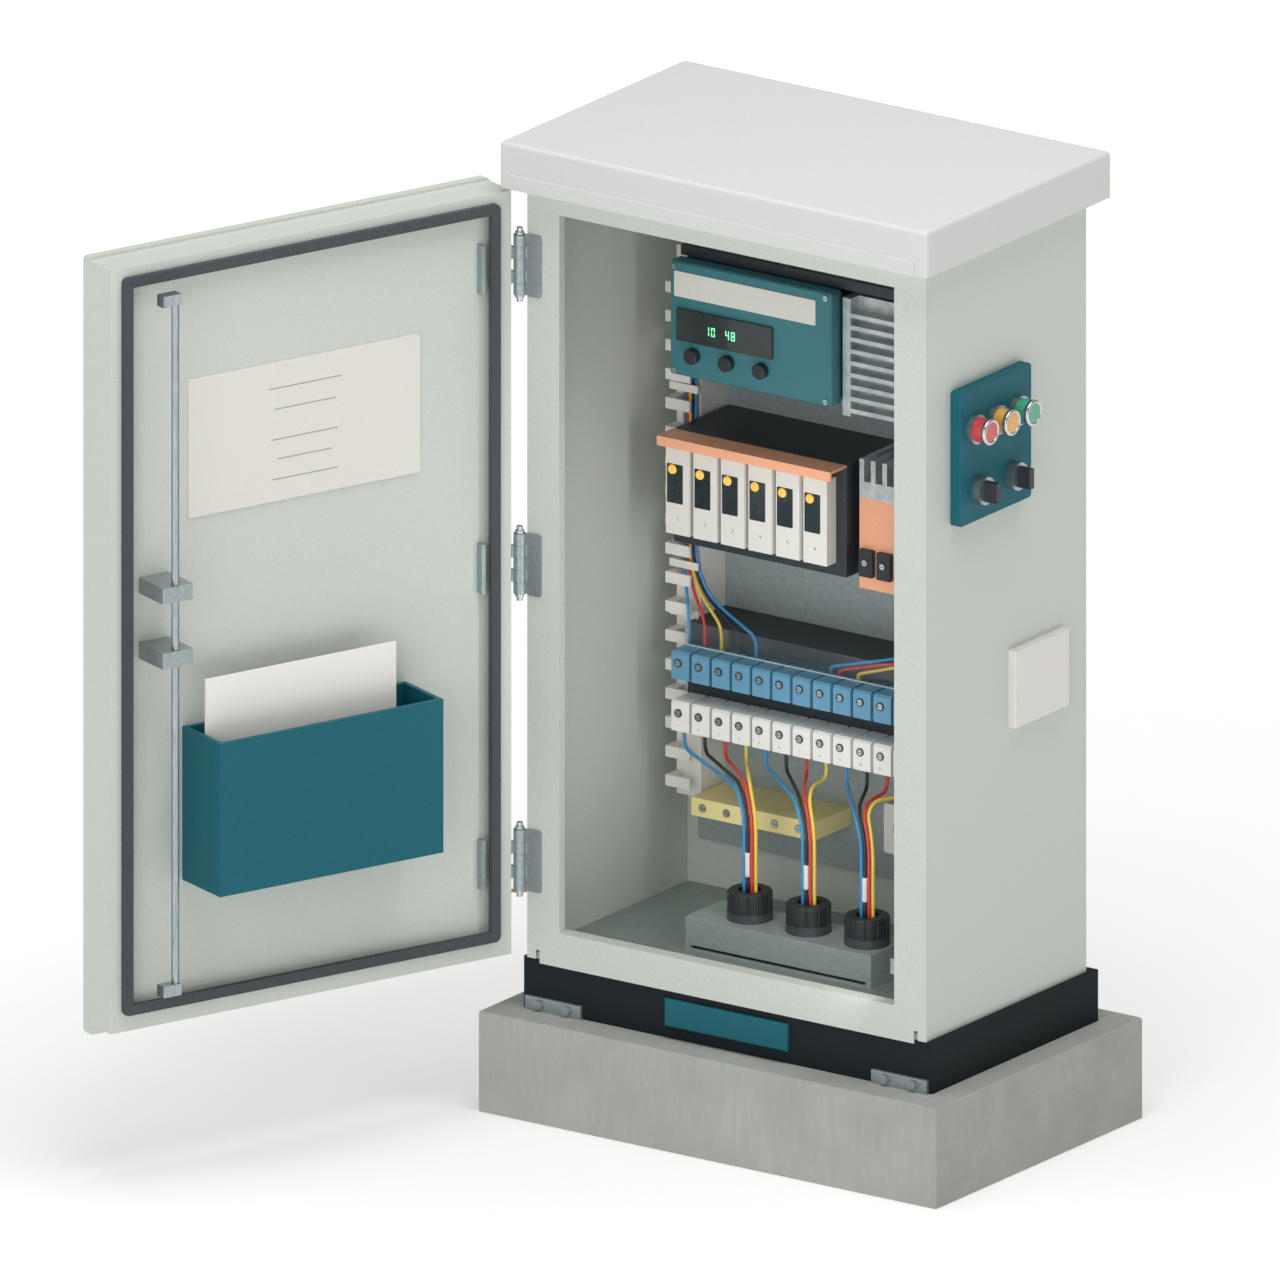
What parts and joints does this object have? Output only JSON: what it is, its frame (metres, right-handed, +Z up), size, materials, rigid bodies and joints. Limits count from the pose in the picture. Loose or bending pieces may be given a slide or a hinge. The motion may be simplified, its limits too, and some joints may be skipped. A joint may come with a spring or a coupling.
{
  "type": "traffic signal controller cabinet",
  "caption": "Roadside steel cabinet on a concrete plinth with an open hinged door, a rack-and-pinion rod lock, and control gear, terminals and glanded cables inside.",
  "frame": {"origin": "centre of the plinth's underside", "axes": "+Z up, -Y out of the cabinet's front opening, +X to the right seen from the front"},
  "size_m": [0.954, 0.9819, 1.28],
  "materials": {
    "concrete": "rough cast",
    "charcoal_steel": "satin",
    "body_paint": "satin",
    "galvanised": "galvanised",
    "teal": "satin",
    "orange": "satin",
    "black_plastic": "matt",
    "cream_plastic": "matt",
    "blue_plastic": "matt",
    "yellow_metal": "satin",
    "aluminium": "cast",
    "steel": "plated",
    "rubber": "matt",
    "clear": "clear acrylic",
    "display_glass": "dark",
    "red_lens": "gloss",
    "amber_lens": "gloss",
    "green_lens": "gloss",
    "wire_blue": "pvc",
    "wire_black": "pvc",
    "wire_red": "pvc",
    "wire_yellow": "pvc"
  },
  "bodies": {
    "cabinet": {"concrete_plinth": "concrete", "base_frame": "charcoal_steel", "base_fixings": "galvanised", "cabinet_body": "body_paint", "floor_plate": "galvanised", "roof": "body_paint", "mounting_panel": "galvanised", "top_tray": "charcoal_steel", "controller_case": "black_plastic", "controller_face": "teal", "controller_display": "display_glass", "fin_unit": "aluminium", "rack_case": "charcoal_steel", "rack_strip": "orange", "relay_modules": "cream_plastic", "relay_lamps": "amber_lens", "power_supply_body": "aluminium", "power_supply_cover": "orange", "power_terminals": "black_plastic", "wire_duct": "cream_plastic", "terminal_trunk": "charcoal_steel", "terminals_blue": "blue_plastic", "terminals_white": "cream_plastic", "clear_shield": "clear", "earth_bar": "yellow_metal", "steel_screws": "steel", "gland_box": "galvanised", "gland_bodies": "black_plastic", "gland_nuts": "black_plastic", "wires_blue": "wire_blue", "wires_black": "wire_black", "wires_red": "wire_red", "wires_yellow": "wire_yellow", "socket_outlet": "cream_plastic", "control_panel": "teal", "lamp_red": "red_lens", "lamp_amber": "amber_lens", "lamp_green": "green_lens", "panel_bezels": "steel", "id_plate": "cream_plastic", "name_plate": "teal", "body_hinge_leaves": "galvanised", "hinge_pins": "steel", "rod_keeper": "galvanised", "earth_lead": "wire_yellow"},
    "door": {"door_panel": "body_paint", "door_gasket": "rubber", "door_hinge_leaves": "galvanised", "rod_guide": "galvanised", "lock_case": "galvanised", "document_pocket": "teal", "service_card": "cream_plastic"},
    "latch_rod": {"lock_rod": "galvanised"},
    "handle": {"door_handle": "black_plastic", "latch_pinion": "steel"},
    "selector_left": {"selector_left": "black_plastic"},
    "selector_right": {"selector_right": "black_plastic"},
    "key_1": {"controller_key_1": "black_plastic"},
    "key_2": {"controller_key_2": "black_plastic"},
    "key_3": {"controller_key_3": "black_plastic"}
  },
  "joints": [
    {"name": "door_swing", "type": "hinge", "parent": "cabinet", "child": "door", "pos_m": [-0.313, -0.189, 0.7195], "axis": [0, 0, 1], "range_deg": [-23, 112], "deforming": ["earth_lead"]},
    {"name": "handle_turn", "type": "hinge", "parent": "door", "child": "handle", "pos_m": [-0.51135, -0.67994, 0.7865], "axis": [-0.9272, 0.3746, 0], "range_deg": [0, 90]},
    {"name": "lock_rod_slide", "type": "slide", "parent": "door", "child": "latch_rod", "axis": [0, 0, 1], "range_m": [0, 0.0118]},
    {"name": "selector_left_turn", "type": "hinge", "parent": "cabinet", "child": "selector_left", "pos_m": [0.332, -0.089, 0.907], "axis": [1, 0, 0], "range_deg": [-45, 45]},
    {"name": "selector_right_turn", "type": "hinge", "parent": "cabinet", "child": "selector_right", "pos_m": [0.332, -0.0165, 0.907], "axis": [1, 0, 0], "range_deg": [-45, 45]},
    {"name": "key_1_press", "type": "slide", "parent": "cabinet", "child": "key_1", "axis": [0, 1, 0], "range_m": [0, 0.002], "stiffness_N_per_m": 400, "springref_m": -0.001},
    {"name": "key_2_press", "type": "slide", "parent": "cabinet", "child": "key_2", "axis": [0, 1, 0], "range_m": [0, 0.002], "stiffness_N_per_m": 400, "springref_m": -0.001},
    {"name": "key_3_press", "type": "slide", "parent": "cabinet", "child": "key_3", "axis": [0, 1, 0], "range_m": [0, 0.002], "stiffness_N_per_m": 400, "springref_m": -0.001}
  ],
  "couplings": [
    {"joint": "lock_rod_slide", "follows": "handle_turn", "m_per_rad": 0.0075}
  ]
}
